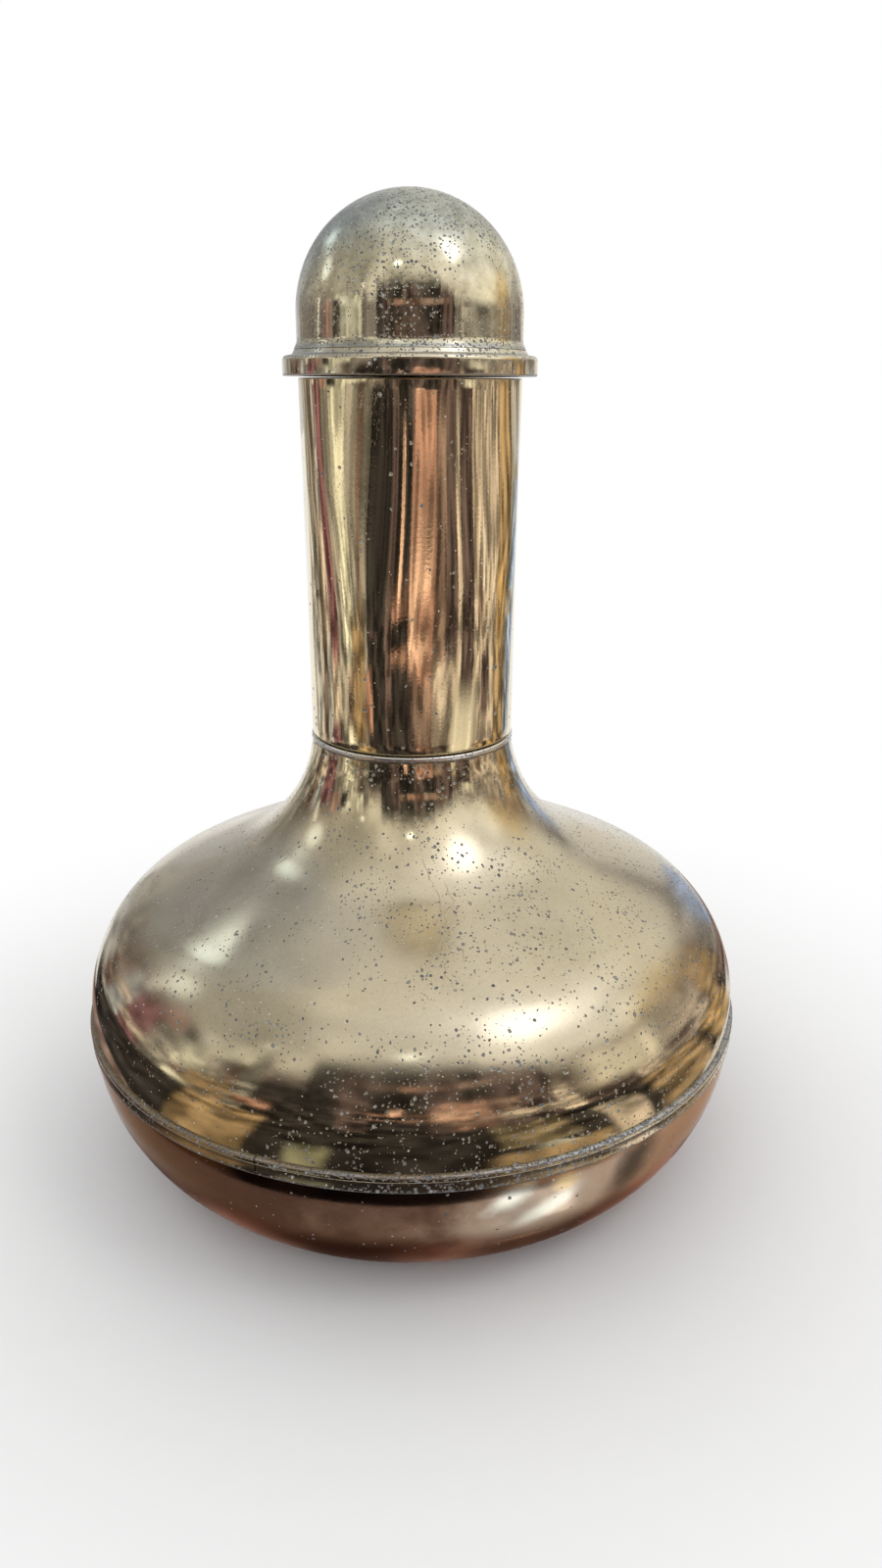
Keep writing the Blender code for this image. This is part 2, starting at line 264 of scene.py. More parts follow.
def turned_shoulder():
    lip_radius = COLLAR_RADIUS + 0.0002
    lip_bottom = COLLAR_TOP - 0.0010
    lip = rounded(
        (COLLAR_BORE, COLLAR_TOP),
        (lip_radius, COLLAR_TOP, EDGE_ROUND),
        (lip_radius, lip_bottom, EDGE_ROUND),
        (COLLAR_RADIUS, lip_bottom),
    )
    skin = eased(
        rounded(
            (COLLAR_RADIUS, lip_bottom),
            (COLLAR_RADIUS + 0.0016, 0.0730, 0.0285),
            (BODY_RADIUS, 0.0516, 0.0257),
            (BODY_RADIUS, SEAM_HEIGHT),
        )
    )
    lining = inside(skin, SHEET)
    outline = lip + skin[1:] + lining[:0:-1]
    return turned("turned_shoulder", outline, "bottle", "upper_shell")


def turned_bowl():
    lip_radius = SEAM_RADIUS - SHEET - PLAY
    step = SEAM_HEIGHT - PLAY
    rim = BEAD_BOTTOM - PLAY
    lap_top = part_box("lower_shell")[1].z
    lip = [
        Vector((lip_radius, lap_top)),
        Vector((lip_radius, step)),
        Vector((SEAM_RADIUS, step)),
        Vector((SEAM_RADIUS, rim)),
    ]
    skin = eased(
        rounded(
            (BOWL_RADIUS, rim),
            (BOWL_RADIUS - 0.0006, 0.0123, 0.0345),
            (0.0528, 0, 0.0105),
            (0.0340, 0, 0.0030),
            (0.0300, 0.0015, 0.0030),
            (0, 0.0015),
        )
    )
    skin = [Vector((point.x, max(0.0, point.y))) for point in skin]
    lining = inside(skin, SHEET)
    bore = [
        Vector((lip_radius - SHEET, step)),
        Vector((lip_radius - SHEET, lap_top)),
    ]
    outline = lip + skin + lining[::-1] + bore
    rim_of_axis = outline.index(skin[-1])
    outline = outline[rim_of_axis + 1 :] + outline[: rim_of_axis + 1]
    return turned("turned_bowl", outline, "bottle", "lower_shell")


def bead_wire():
    """Wire bent round the seam until its two ends nearly meet."""
    ridge_bottom = BEAD_TOP - 0.0013
    outline = rounded(
        (SEAM_RADIUS, BEAD_TOP),
        (BEAD_RADIUS, BEAD_TOP, 0.0006),
        (BEAD_RADIUS, ridge_bottom, 0.0006),
        (BEAD_RADIUS - 0.0004, ridge_bottom - 0.0001, 0.0001),
        (BEAD_RADIUS - 0.0003, ridge_bottom - 0.0004, 0.0002),
        (BEAD_RADIUS - 0.0001, BEAD_BOTTOM, 0.0002),
        (SEAM_RADIUS, BEAD_BOTTOM),
    )
    gap = BEAD_GAP / BEAD_RADIUS
    points = []
    rows = []
    for step in range(BEAD_SIDES + 1):
        angle = BEAD_SPLIT + gap / 2 + (math.tau - gap) * step / BEAD_SIDES
        rows.append(range(len(points), len(points) + len(outline)))
        points.extend(around(radius, angle, height) for radius, height in outline)
    faces = flipped(ring_faces(rows, len(outline), closed=False))
    faces += [rows[0][::-1], rows[-1]]
    return piece("bead_wire", points, faces, "bottle", "seam_bead")


def neck_radius(share):
    return COLLAR_RADIUS + (MOUTH_RADIUS - COLLAR_RADIUS) * share**2


def drawn_neck():
    length = NECK_TOP - NECK_FOOT
    shares = [step / NECK_STEPS for step in range(1, NECK_STEPS)]
    skin = [(neck_radius(share), NECK_FOOT + length * share) for share in reversed(shares)]
    lining = [(radius - SHEET, height) for radius, height in reversed(skin)]
    outline = rounded(
        (MOUTH_RADIUS - SHEET, NECK_TOP),
        (MOUTH_RADIUS, NECK_TOP, EDGE_ROUND),
        *skin,
        (COLLAR_RADIUS, NECK_FOOT - 0.0001, 0.0006),
        (COLLAR_BORE, NECK_FOOT - 0.0001),
        *lining,
    )
    return turned("drawn_neck", outline, "bottle", "neck_tube")


def dome_shell():
    skin = rounded(
        (0, DOME_TOP),
        (MOUTH_RADIUS, DOME_TOP, MOUTH_RADIUS),
        (MOUTH_RADIUS, DOME_EDGE + 0.0013, 0.0020),
        (MOUTH_RADIUS + 0.0006, DOME_EDGE),
    )
    lining = rounded(
        (0, DOME_TOP - SHEET),
        (DOME_BORE, DOME_TOP - SHEET, DOME_BORE),
        (DOME_BORE, DOME_EDGE),
    )
    return turned("dome_shell", skin + lining[::-1], "cap", "cap_dome")


def flange_ring():
    spigot_radius = DOME_BORE - PLAY
    spigot_bore = spigot_radius - SHEET
    cove_radius = MOUTH_RADIUS + 0.0006
    ledge = DOME_EDGE - 0.0001
    top = CAP_SEAT + 0.0036
    plate = CAP_SEAT + 0.0020
    outline = rounded(
        (spigot_bore, plate),
        (spigot_bore, ledge + 0.0030),
        (spigot_radius, ledge + 0.0030, EDGE_ROUND),
        (spigot_radius, ledge),
        (cove_radius, ledge),
        (cove_radius + 0.0005, top, 0.0007),
        (FLANGE_RADIUS, top, 0.0009),
        (FLANGE_RADIUS, CAP_SEAT, EDGE_ROUND),
        (STUD_BORE, CAP_SEAT),
        (STUD_BORE, plate),
    )
    return turned("flange_ring", outline, "cap", "cap_flange")


def cork_body():
    top_radius = MOUTH_RADIUS - SHEET - PLAY
    bottom_radius = top_radius - CORK_TAPER
    outline = rounded(
        (STUD_BORE, CORK_TOP),
        (top_radius, CORK_TOP, EDGE_ROUND),
        (bottom_radius, CORK_BOTTOM, 0.0010),
        (STUD_BORE, CORK_BOTTOM),
    )
    return turned("cork_body", outline, "cap", "cork_plug")


def washer_disc():
    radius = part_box("cork_washer")[1].x
    outline = rounded(
        (STUD_BORE, WASHER_TOP),
        (radius, WASHER_TOP, EDGE_ROUND),
        (radius, WASHER_BOTTOM, EDGE_ROUND),
        (STUD_BORE, WASHER_BOTTOM),
    )
    return turned("washer_disc", outline, "cap", "cork_washer", SMALL_SIDES)


def threaded_stud():
    """Headed stud whose lower end has a cut thread."""
    head_radius = STUD_RADIUS * 2
    head_bottom = STUD_TOP - STUD_HEAD
    thread_top = NUT_TOP + 0.0030
    shank = rounded(
        (0, STUD_TOP),
        (head_radius, STUD_TOP, 0.0010),
        (head_radius, head_bottom),
        (STUD_RADIUS, head_bottom),
        (STUD_RADIUS, thread_top),
    )
    points = []
    rows = []
    add_rings(points, rows, shank, SMALL_SIDES)
    count = math.ceil((thread_top - STUD_END) / THREAD_PITCH * THREAD_RINGS)
    for step in range(1, count + 1):
        height = thread_top + (STUD_END - thread_top) * step / count
        run_in = min(1.0, (thread_top - height) / THREAD_PITCH)
        run_out = min(1.0, (height - STUD_END) / THREAD_RUN_OUT + 0.15)
        spots = []
        for side in range(SMALL_SIDES):
            phase = (height / THREAD_PITCH - side / SMALL_SIDES) % 1.0
            groove = 1 - abs(2 * phase - 1)
            radius = STUD_RADIUS - THREAD_DEPTH * min(1.0, groove * 1.3) * run_in
            spots.append((min(radius, STUD_RADIUS - 0.0005 * (1 - run_out)), height))
        add_ring(points, rows, spots)
    add_rings(points, rows, [(0, STUD_END)], SMALL_SIDES)
    faces = ring_faces(rows, SMALL_SIDES, closed=False)
    return piece("threaded_stud", points, faces, "cap", "cork_stud")


def hex_nut():
    """Hexagon nut with its corners chamfered at 30 degrees and a countersunk bore."""
    flats = STUD_RADIUS + 0.0015
    slope = math.tan(math.radians(30))
    parts = [(side / SMALL_SIDES * 6 + 0.5) % 1.0 - 0.5 for side in range(SMALL_SIDES)]
    hexagon = [flats / math.cos(part * math.pi / 3) for part in parts]
    drops = [max(0.0, radius - flats) * slope for radius in hexagon]

    def level(radius, height):
        return [(radius, height)] * SMALL_SIDES

    points = []
    rows = []
    for spots in (
        level(STUD_BORE + COUNTERSINK, NUT_TOP),
        level(flats, NUT_TOP),
        [(radius, NUT_TOP - drop) for radius, drop in zip(hexagon, drops)],
        [(radius, NUT_BOTTOM + drop) for radius, drop in zip(hexagon, drops)],
        level(flats, NUT_BOTTOM),
        level(STUD_BORE + COUNTERSINK, NUT_BOTTOM),
        level(STUD_BORE, NUT_BOTTOM + COUNTERSINK),
        level(STUD_BORE, NUT_TOP - COUNTERSINK),
    ):
        add_ring(points, rows, spots, math.tau / 12)
    faces = ring_faces(rows, SMALL_SIDES, closed=True)
    return piece("hex_nut", points, faces, "cap", "cork_nut")


class Graph:
    """The node tree of a material or the world, with short calls for the nodes they share."""

    def __init__(self, owner):
        owner.use_nodes = True
        self.owner = owner
        self.tree = owner.node_tree
        self.shader = self.tree.nodes.get("Principled BSDF")
        self.output = self.tree.nodes.get("Material Output")

    def add(self, kind, inputs=None, **settings):
        made = self.tree.nodes.new("ShaderNode" + kind)
        for key, value in settings.items():
            setattr(made, key, value)
        self.feed(made, inputs or {})
        return made

    def feed(self, node, inputs):
        """Link or set inputs of a node; a colour of three numbers gets an alpha of 1."""
        for key, value in inputs.items():
            socket = node.inputs[key]
            if isinstance(value, bpy.types.NodeSocket):
                self.tree.links.new(value, socket)
            elif socket.type == "RGBA" and len(value) == 3:
                socket.default_value = (*value, 1)
            else:
                socket.default_value = value

    def maths(self, operation, *values, clamp=False):
        inputs = dict(enumerate(values))
        return self.add("Math", inputs, operation=operation, use_clamp=clamp).outputs[0]

    def vector(self, operation, *values):
        """The outputs of a vector sum: 0 is a vector and Value a number."""
        return self.add("VectorMath", dict(enumerate(values)), operation=operation).outputs

    def times(self, *values):
        product = values[0]
        for value in values[1:]:
            product = self.maths("MULTIPLY", product, value)
        return product

    def plus(self, *values):
        total = values[0]
        for value in values[1:]:
            total = self.maths("ADD", total, value)
        return total

    def blend(self, share, first, second):
        """Colour mix from first to second."""
        return self.add("Mix", {0: share, 6: first, 7: second}, data_type="RGBA").outputs[2]

    def between(self, share, first, second):
        """Number from first to second."""
        return self.add("Mix", {0: share, 2: first, 3: second}, data_type="FLOAT").outputs[0]

    def scaled(self, colour, factor):
        return self.add("VectorMath", {0: colour, 3: factor}, operation="SCALE").outputs[0]

    def ramp(self, value, low, high):
        """0 below low, 1 above high and smooth between; the other way round if low > high."""
        inputs = {"Value": value, "From Min": low, "From Max": high}
        return self.add("MapRange", inputs, interpolation_type="SMOOTHSTEP").outputs["Result"]

    def spread(self, place, size, detail=2.0, roughness=0.5):
        """Noise around 0.5 whose patches are about as long as size."""
        inputs = {"Vector": place, "Scale": 1.0 / size, "Detail": detail, "Roughness": roughness}
        return self.add("TexNoise", inputs).outputs["Fac"]

    def place(self):
        return self.add("TexCoord").outputs["Object"]

    def stretched(self, place, scales):
        return self.vector("MULTIPLY", place, scales)[0]

    def shaken(self, place, size, reach):
        """The place moved about by up to reach, so that what is drawn there has rough edges."""
        noise = self.add("TexNoise", {"Vector": place, "Scale": 1.0 / size, "Detail": 1.0})
        centred = self.vector("SUBTRACT", noise.outputs["Color"], (0.5, 0.5, 0.5))[0]
        return self.vector("ADD", place, self.scaled(centred, 2 * reach))[0]

    def spots(self, place, cell, radius, share):
        """Round spots, one in a share of the cells, and a random number for each."""
        cells = self.add("TexVoronoi", {"Vector": place, "Scale": 1.0 / cell})
        random = self.add("SeparateColor", {"Color": cells.outputs["Color"]})
        size = self.maths("MULTIPLY_ADD", random.outputs["Green"], radius / cell, radius / cell / 2)
        core = self.times(size, 0.6)
        mask = self.ramp(cells.outputs["Distance"], size, core)
        kept = self.maths("LESS_THAN", random.outputs["Red"], share)
        middle = self.ramp(cells.outputs["Distance"], self.times(size, 0.5), self.times(size, 0.2))
        return self.times(mask, kept), random.outputs["Blue"], self.times(middle, kept)

    def band(self, height, middle, half, soft):
        """1 within half of a height, fading out over soft."""
        away = self.maths("ABSOLUTE", self.plus(height, -middle))
        return self.ramp(away, half + soft, half)

    def bump(self, height, distance, below=None):
        made = self.add("Bump", {"Height": height, "Distance": distance, "Strength": 1.0})
        if below is not None:
            self.feed(made, {"Normal": below})
        return made.outputs["Normal"]

    def show(self, share, first, second):
        """Let the material be the first shader where share is 0 and the second where it is 1."""
        mixed = self.add("MixShader", {0: share, 1: first.outputs[0], 2: second.outputs[0]})
        self.feed(self.output, {"Surface": mixed.outputs[0]})

    def paint(self, colour, rough, metal, normal, edge_tint=(1.0, 1.0, 1.0)):
        """Dress the material's own shader and give the material."""
        inputs = {"Base Color": colour, "Roughness": rough, "Metallic": metal, "Normal": normal}
        self.feed(self.shader, {**inputs, "Specular Tint": edge_tint})
        return self.owner


# Sizes of the marks in the brass, and of the cork's grains
GRAIN_SIZE = 0.0006
SPECK_RADIUS = 0.00015
DUST_CELL = 0.0010
PIT_DEPTH = 0.00010
CORK_GRAIN = 0.0022


def new_material(name):
    return Graph(bpy.data.materials.new(name))


def brass(
    name,
    tone,
    film,
    film_share,
    polish,
    dullness,
    pit_share,
    fine_pit_share,
    fine_cell=0.0009,
    cloud_size=0.007,
    pit_cell=0.0018,
    pit_size=0.00036,
    dust_share=0.30,
    pit_side=0.0,
    pit_up=0.0,
    wave=0.0008,
    wave_size=0.020,
    mottle=0.30,
    scratches=0.0,
    stain_and_side_shade=None,
    bands=(),
    pit_bands=(),
    lines=(),
    patches=(),
    edge_tint=(1.0, 1.0, 1.0),
):
    """Old polished brass: a thin grey film, pits with blue-grey corrosion, and fine wear, where
    asked with painted highlights, reflections and side shade.
    """
    graph = new_material(name)
    place = graph.place()
    parts = graph.add("SeparateXYZ", {"Vector": place})
    height = parts.outputs["Z"]
    facing = graph.add("SeparateXYZ", {"Vector": graph.add("NewGeometry").outputs["Normal"]})
    up = graph.ramp(facing.outputs["Z"], 0.15, 0.85)

    broad = graph.spread(place, 0.030, detail=3.0)
    cloudy = graph.spread(place, cloud_size, detail=4.0, roughness=0.6)
    grain = graph.spread(place, GRAIN_SIZE)
    rubbed = graph.plus(graph.times(broad, 0.9), graph.times(cloudy, 0.5), -0.7)
    cover = graph.plus(graph.times(up, 0.9), rubbed, 0.05)
    cover = graph.maths("MULTIPLY", cover, film_share, clamp=True)

    shaken = graph.shaken(place, 0.0007, 0.00025)
    crowd = graph.ramp(graph.spread(place, 0.010, detail=3.0), 0.34, 0.62)
    crowd = graph.plus(
        crowd, graph.times(parts.outputs["X"], pit_side), graph.times(up, pit_up), -0.3 * pit_up
    )
    for middle, half in pit_bands:
        crowd = graph.plus(crowd, graph.times(graph.band(height, middle, half, half), 1.6))
    big_share = graph.times(crowd, pit_share)
    big, big_random, big_middle = graph.spots(shaken, pit_cell, pit_size, big_share)
    mid_share = graph.times(crowd, pit_share, 0.6)
    mid = graph.spots(shaken, pit_cell * 0.62, pit_size * 0.55, mid_share)[0]
    small = graph.spots(shaken, fine_cell, SPECK_RADIUS, graph.times(crowd, fine_pit_share))[0]
    dust = graph.spots(shaken, DUST_CELL, SPECK_RADIUS, dust_share)[0]
    pits = graph.maths("MAXIMUM", graph.maths("MAXIMUM", big, mid), graph.times(small, 0.8))

    colour = graph.blend(cover, tone, film)
    rough = graph.between(cover, polish, dullness)
    # The darkening is partly stain from noise and partly painted shade that leans to one side along
    # X.
    if stain_and_side_shade:
        darkened_colour, shade_side, darkening_from, darkening_to = stain_and_side_shade
        lean = graph.times(parts.outputs["X"], shade_side)
        amount = graph.plus(broad, graph.times(cloudy, 0.4), lean)
        darkened = graph.ramp(amount, darkening_from, darkening_to)
        colour = graph.blend(darkened, colour, darkened_colour)
    shade = graph.plus(graph.times(cloudy, mottle), graph.times(grain, 0.20), 0.90 - mottle / 2)
    colour = graph.scaled(colour, shade)
    rough = graph.plus(rough, graph.times(graph.plus(cloudy, -0.5), 0.12), graph.times(grain, 0.02))
    relief = graph.spread(graph.stretched(place, (1, 1, 0.35)), wave_size, detail=0.0)
    normal = graph.bump(relief, wave)

    for middle, half, soft, band_colour, band_rough, strength in bands:
        wobble = graph.plus(graph.spread(place, 0.002), -0.5)
        ragged = graph.plus(height, graph.times(wobble, 0.0008))
        band = graph.times(graph.band(ragged, middle, half, soft), strength)
        colour = graph.blend(band, colour, band_colour)
        rough = graph.between(band, rough, band_rough)

    # Each patch is a painted highlight or reflection on the front half: its middle as X and height,
    # half length and width, tilt, colour, roughness and strength.
    for middle, halves, tilt, reflection_colour, reflection_rough, strength in patches:
        right = graph.plus(parts.outputs["X"], -middle[0])
        above = graph.plus(height, -middle[1])
        along = [part(math.radians(tilt)) / halves[0] for part in (math.cos, math.sin)]
        across = [part(math.radians(tilt)) / halves[1] for part in (math.cos, math.sin)]
        long = graph.plus(graph.times(right, along[0]), graph.times(above, along[1]))
        wide = graph.plus(graph.times(right, -across[1]), graph.times(above, across[0]))
        away = graph.maths("SQRT", graph.plus(graph.times(long, long), graph.times(wide, wide)))
        away = graph.plus(away, graph.times(graph.plus(cloudy, -0.5), 0.9))
        front = graph.ramp(parts.outputs["Y"], 0.0, -0.02)
        painted_reflection = graph.times(graph.ramp(away, 1.2, 0.2), front, strength)
        colour = graph.blend(painted_reflection, colour, reflection_colour)
        rough = graph.between(painted_reflection, rough, reflection_rough)

    if lines:
        turn = graph.maths("ARCTAN2", parts.outputs["X"], graph.times(parts.outputs["Y"], -1.0))
        reach = graph.vector("LENGTH", graph.stretched(place, (1, 1, 0)))["Value"]
        for azimuth, nearest, furthest, seed in lines:
            along = graph.add("CombineXYZ", {"X": seed, "Y": height, "Z": reach}).outputs[0]
            wander = graph.plus(graph.spread(along, 0.010, detail=3.0, roughness=0.5), -0.5)
            off = graph.times(graph.plus(turn, -math.radians(azimuth)), reach)
            off = graph.plus(off, graph.times(wander, 0.012))
            line = graph.ramp(graph.maths("ABSOLUTE", off), 0.00014, 0.00004)
            line = graph.times(
                line,
                graph.ramp(reach, nearest, nearest + 0.002),
                graph.ramp(reach, furthest, furthest - 0.004),
                graph.ramp(cloudy, 0.30, 0.48),
            )
            colour = graph.blend(graph.times(line, 0.45), colour, (0.16, 0.10, 0.06))
            rough = graph.plus(rough, graph.times(line, 0.25))

    if scratches:
        scored = graph.spread(graph.stretched(place, (1, 1, 0.5)), 0.006, detail=5.0, roughness=0.7)
        score = graph.ramp(graph.maths("ABSOLUTE", graph.plus(scored, -0.5)), 0.006, 0.001)
        patch = graph.ramp(graph.spread(place, 0.010), 0.52, 0.62)
        score = graph.times(score, patch, scratches)
        rough = graph.plus(rough, graph.times(score, 0.4))
        colour = graph.blend(graph.times(score, 0.5), colour, (0.75, 0.70, 0.60))

    pit_tone = graph.blend(big_random, (0.060, 0.068, 0.090), (0.19, 0.19, 0.19))
    pit_tone = graph.blend(graph.times(big_middle, big_random), pit_tone, (0.50, 0.52, 0.52))
    colour = graph.blend(pits, colour, pit_tone)
    colour = graph.blend(graph.times(dust, 0.7), colour, (0.62, 0.62, 0.60))
    dull = graph.maths("MAXIMUM", pits, graph.times(dust, 0.7))
    rough = graph.maths("ADD", graph.between(dull, rough, 0.75), 0.0, clamp=True)
    metal = graph.maths("SUBTRACT", 1.0, dull)
    fine = graph.plus(graph.times(pits, -1.0), graph.times(grain, 0.04))
    normal = graph.bump(fine, PIT_DEPTH, normal)

    return graph.paint(colour, rough, metal, normal, edge_tint)


def cork_material():
    graph = new_material("pressed_cork")
    place = graph.place()
    shaken = graph.shaken(place, 0.0016, 0.0005)
    cells = {"Vector": shaken, "Scale": 1 / CORK_GRAIN}
    grains = graph.add("TexVoronoi", cells)
    random = graph.add("SeparateColor", {"Color": grains.outputs["Color"]})
    edges = graph.add("TexVoronoi", cells, feature="DISTANCE_TO_EDGE")
    seam = graph.ramp(edges.outputs["Distance"], 0.10, 0.02)
    pores = graph.spots(graph.stretched(shaken, (1, 1, 0.4)), 0.0016, 0.0004, 0.5)[0]
    colour = graph.blend(random.outputs["Red"], (0.50, 0.31, 0.16), (0.62, 0.42, 0.24))
    colour = graph.blend(graph.times(seam, 0.5), colour, (0.26, 0.14, 0.07))
    colour = graph.blend(pores, colour, (0.14, 0.075, 0.04))
    fine = graph.spread(place, 0.0008)
    height = graph.plus(graph.times(seam, -0.4), graph.times(pores, -1.0), fine)
    rough = graph.plus(graph.times(pores, 0.1), 0.82)
    return graph.paint(colour, rough, 0.0, graph.bump(height, 0.00025))


def steel_material():
    graph = new_material("plated_steel")
    place = graph.place()
    cloudy = graph.spread(place, 0.002, detail=4.0)
    lines = graph.spread(graph.stretched(place, (1, 1, 12)), 0.0008, detail=3.0)
    rust = graph.ramp(graph.spread(place, 0.0012, detail=5.0, roughness=0.7), 0.60, 0.72)
    colour = graph.blend(cloudy, (0.42, 0.42, 0.41), (0.60, 0.60, 0.58))
    colour = graph.blend(graph.times(rust, 0.7), colour, (0.20, 0.10, 0.05))
    rough = graph.plus(graph.times(lines, 0.2), graph.times(rust, 0.3), 0.22)
    metal = graph.maths("SUBTRACT", 1.0, graph.times(rust, 0.8))
    return graph.paint(colour, rough, metal, graph.bump(lines, 0.00002))


def dress(made, material):
    made.data.materials.clear()
    made.data.materials.append(material)


SILVER = (0.78, 0.77, 0.72)
# Painted shade for the crease under the collar's lip and the crease under the bead's ridge
CREASE_SHADE = (0.12, 0.09, 0.07)
LEDGE_GREY = (0.40, 0.40, 0.39)
LEDGE_BLUE = (0.42, 0.43, 0.44)
# Painted shade, in a copper-red tone, that darkens the bowl towards its foot
FOOT_SHADE = (0.17, 0.075, 0.055)
# Colour of the painted highlights
PAINTED_HIGHLIGHT = (1.0, 0.98, 0.84)

shoulder_finish = brass(
    "shoulder_finish",
    tone=(0.63, 0.53, 0.33),
    film=(0.53, 0.47, 0.35),
    film_share=0.9,
    polish=0.05,
    dullness=0.22,
    pit_share=0.85,
    fine_pit_share=0.50,
    dust_share=0.26,
    pit_cell=0.00115,
    pit_size=0.00027,
    pit_side=7.0,
    lines=[(6, 0.027, 0.055, 0.1), (11, 0.031, 0.050, 0.7), (-52, 0.030, 0.046, 1.3)],
    bands=[
        (COLLAR_TOP - 0.0004, 0.0005, 0.0003, SILVER, 0.30, 1.0),
        # painted shade in the crease under the collar's lip
        (COLLAR_TOP - 0.0011, 0.00005, 0.00025, CREASE_SHADE, 0.50, 0.8),
    ],
    pit_bands=[(COLLAR_TOP - 0.0008, 0.0009), (BEAD_TOP + 0.0002, 0.0004)],
)
# The bowl is a darker, redder copy of the brass: partly patina, partly painted shade where it faces
# down to the floor.
bowl_patina_and_shade = brass(
    "bowl_patina_and_shade",
    tone=(0.42, 0.26, 0.17),
    film=(0.27, 0.17, 0.11),
    film_share=1.0,
    mottle=0.60,
    polish=0.09,
    dullness=0.20,
    pit_share=0.08,
    fine_pit_share=0.12,
    dust_share=0.10,
    # partly stain, partly painted shade on the bowl's left side
    stain_and_side_shade=((0.09, 0.045, 0.030), -12.0, 0.47, 0.92),
    # painted shade towards the foot
    bands=[(0.0075, 0.0045, 0.0075, FOOT_SHADE, 0.14, 0.95)],
    edge_tint=(0.88, 0.70, 0.58),
    # Painted highlights and reflections on the bowl's front: a broad pale area, two pale-gold
    # highlights, a gold glint, a dark reflected streak and a thin gold highlight line.
    patches=[
        ((0.0215, 0.0200), (0.0220, 0.0110), 15, (0.66, 0.54, 0.42), 0.13, 0.9),
        ((0.0166, 0.0257), (0.0070, 0.0026), 35, PAINTED_HIGHLIGHT, 0.14, 1.0),
        ((0.0232, 0.0215), (0.0075, 0.0024), 30, PAINTED_HIGHLIGHT, 0.14, 1.0),
        ((0.0263, 0.0268), (0.0030, 0.0024), 0, (1.0, 0.76, 0.42), 0.14, 0.9),
        ((0.0398, 0.0240), (0.0105, 0.0046), 62, (0.085, 0.070, 0.055), 0.14, 1.0),
        ((0.0192, 0.0138), (0.0060, 0.0008), 3, (0.95, 0.70, 0.42), 0.14, 0.9),
    ],
)
bead_finish = brass(
    "bead_finish",
    tone=(0.72, 0.64, 0.46),
    film=LEDGE_BLUE,
    film_share=1.3,
    polish=0.11,
    dullness=0.50,
    pit_share=0.85,
    fine_pit_share=0.9,
    pit_cell=0.00080,
    pit_size=0.00031,
    pit_side=5.0,
    pit_up=0.8,
    # partly stain, partly painted shade on the bead's left side
    stain_and_side_shade=((0.34, 0.27, 0.18), -5.0, 0.50, 0.95),
    bands=[
        # painted shade in the crease under the bead's ridge
        (BEAD_TOP - 0.0014, 0.0001, 0.0002, CREASE_SHADE, 0.4, 0.9),
        # painted shade on the face just under the bead's ridge
        (BEAD_TOP - 0.0018, 0.0001, 0.0004, (0.16, 0.13, 0.10), 0.3, 0.7),
        (BEAD_BOTTOM, 0.0002, 0.0002, (0.24, 0.23, 0.22), 0.5, 0.9),
    ],
    pit_bands=[(BEAD_TOP + 0.0001, 0.0005), (BEAD_BOTTOM, 0.0004)],
)
neck_finish = brass(
    "neck_finish",
    tone=(0.76, 0.64, 0.40),
    film=(0.60, 0.54, 0.38),
    film_share=0.15,
    polish=0.04,
    dullness=0.20,
    pit_share=0.22,
    fine_pit_share=0.10,
    dust_share=0.10,
    wave=0.0027,
    wave_size=0.018,
    scratches=0.7,
)
dome_finish = brass(
    "dome_finish",
    tone=(0.61, 0.53, 0.35),
    film=(0.42, 0.435, 0.375),
    film_share=1.15,
    polish=0.05,
    dullness=0.27,
    pit_share=0.9,
    fine_pit_share=0.9,
    pit_cell=0.00082,
    pit_size=0.00024,
    dust_share=0.90,
    pit_side=6.0,
    pit_up=0.7,
    wave=0.0012,
    wave_size=0.010,
    mottle=1.20,
    bands=[(DOME_EDGE + 0.0003, 0.0001, 0.0003, (0.33, 0.34, 0.34), 0.45, 0.7)],
    pit_bands=[(DOME_EDGE + 0.0012, 0.0006)],
    fine_cell=0.00062,
    cloud_size=0.0022,
)
flange_finish = brass(
    "flange_finish",
    tone=(0.64, 0.55, 0.36),
    film=(0.50, 0.48, 0.42),
    film_share=0.9,
    polish=0.06,
    dullness=0.30,
    pit_share=0.6,
    fine_pit_share=0.7,
    pit_cell=0.0010,
    pit_size=0.00028,
    pit_up=0.8,
    wave=0.0007,
    wave_size=0.010,
    bands=[(CAP_SEAT + 0.0001, 0.0001, 0.0003, LEDGE_GREY, 0.5, 0.8)],
    pit_bands=[(CAP_SEAT + 0.0038, 0.0006)],
)
inner_finish = brass(
    "inner_finish",
    tone=(0.50, 0.40, 0.22),
    film=(0.30, 0.25, 0.16),
    film_share=1.2,
    polish=0.28,
    dullness=0.50,
    pit_share=0.10,
    fine_pit_share=0.30,
)
cork_finish = cork_material()
steel_finish = steel_material()

dress(turned_shoulder(), shoulder_finish)
dress(turned_bowl(), bowl_patina_and_shade)
dress(bead_wire(), bead_finish)
dress(drawn_neck(), neck_finish)
dress(dome_shell(), dome_finish)
dress(flange_ring(), flange_finish)
dress(cork_body(), cork_finish)
dress(washer_disc(), inner_finish)
dress(threaded_stud(), steel_finish)
dress(hex_nut(), steel_finish)
dress(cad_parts["neck_ferrule"], inner_finish)


